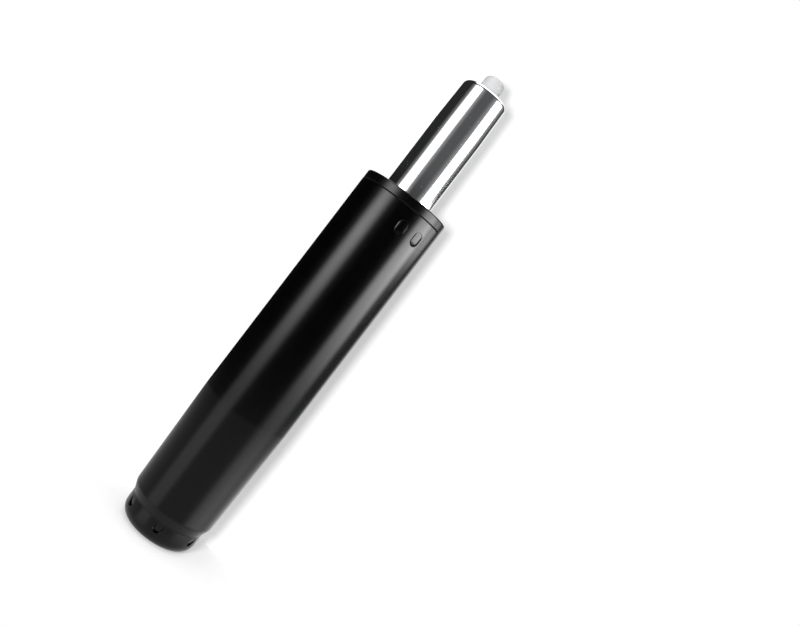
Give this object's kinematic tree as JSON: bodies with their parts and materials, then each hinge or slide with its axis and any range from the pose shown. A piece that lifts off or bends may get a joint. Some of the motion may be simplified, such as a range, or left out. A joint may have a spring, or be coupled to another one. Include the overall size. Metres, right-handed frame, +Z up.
{
  "type": "chair gas lift cylinder",
  "caption": "Height-adjusting gas spring for a swivel chair: tapered black column with a foot thrust bearing, guide bush, chrome pressure tube with a seat cone and a release button.",
  "frame": {"origin": "centre of the foot of the column, on the plane that it stands on", "axes": "+Z up along the lift's axis, -Y towards the front pair of staking tabs"},
  "size_m": [0.05, 0.05, 0.2962],
  "materials": {
    "column_coat": "black powder coat, satin",
    "bush_plastic": "moulded black, satin",
    "tube_chrome": "hard chrome, polished",
    "steel": "turned and hardened",
    "zinc": "zinc plated",
    "alloy": "turned",
    "rubber": "moulded",
    "nylon": "natural white, slightly translucent"
  },
  "bodies": {
    "column": {"outer_column": "column_coat", "guide_bush": "bush_plastic", "base_plate": "column_coat", "lower_race": "steel"},
    "bearing": {"ball_cage": "nylon", "bearing_balls": "steel"},
    "rod": {"piston_rod": "tube_chrome", "upper_race": "steel", "bump_stop": "rubber", "retaining_washer": "zinc", "retaining_clip": "steel", "piston": "alloy", "piston_seal": "rubber", "piston_washer": "zinc"},
    "lift_tube": {"pressure_tube": "tube_chrome", "inner_tube": "steel", "tube_seat": "alloy", "rod_guide": "alloy", "rod_seal": "rubber", "seal_washer": "zinc", "valve_body": "alloy", "valve_outer_seal": "rubber", "valve_inner_seal": "rubber", "upper_pin_seal": "rubber", "lower_pin_seal": "rubber", "valve_spacer": "alloy", "valve_retainer": "steel"},
    "release": {"release_button": "nylon", "valve_pin": "steel"}
  },
  "joints": [
    {"name": "swivel", "type": "hinge", "parent": "column", "child": "rod", "pos_m": [0, 0, 0], "axis": [0, 0, 1], "continuous": true},
    {"name": "cage_spin", "type": "hinge", "parent": "column", "child": "bearing", "pos_m": [0, 0, 0], "axis": [0, 0, 1], "continuous": true},
    {"name": "height", "type": "slide", "parent": "rod", "child": "lift_tube", "axis": [0, 0, 1], "range_m": [0, 0.11]},
    {"name": "button_press", "type": "slide", "parent": "lift_tube", "child": "release", "axis": [0, 0, -1], "range_m": [0, 0.004], "stiffness_N_per_m": 4000}
  ],
  "couplings": [
    {"joint": "cage_spin", "follows": "swivel", "ratio": 0.5}
  ]
}
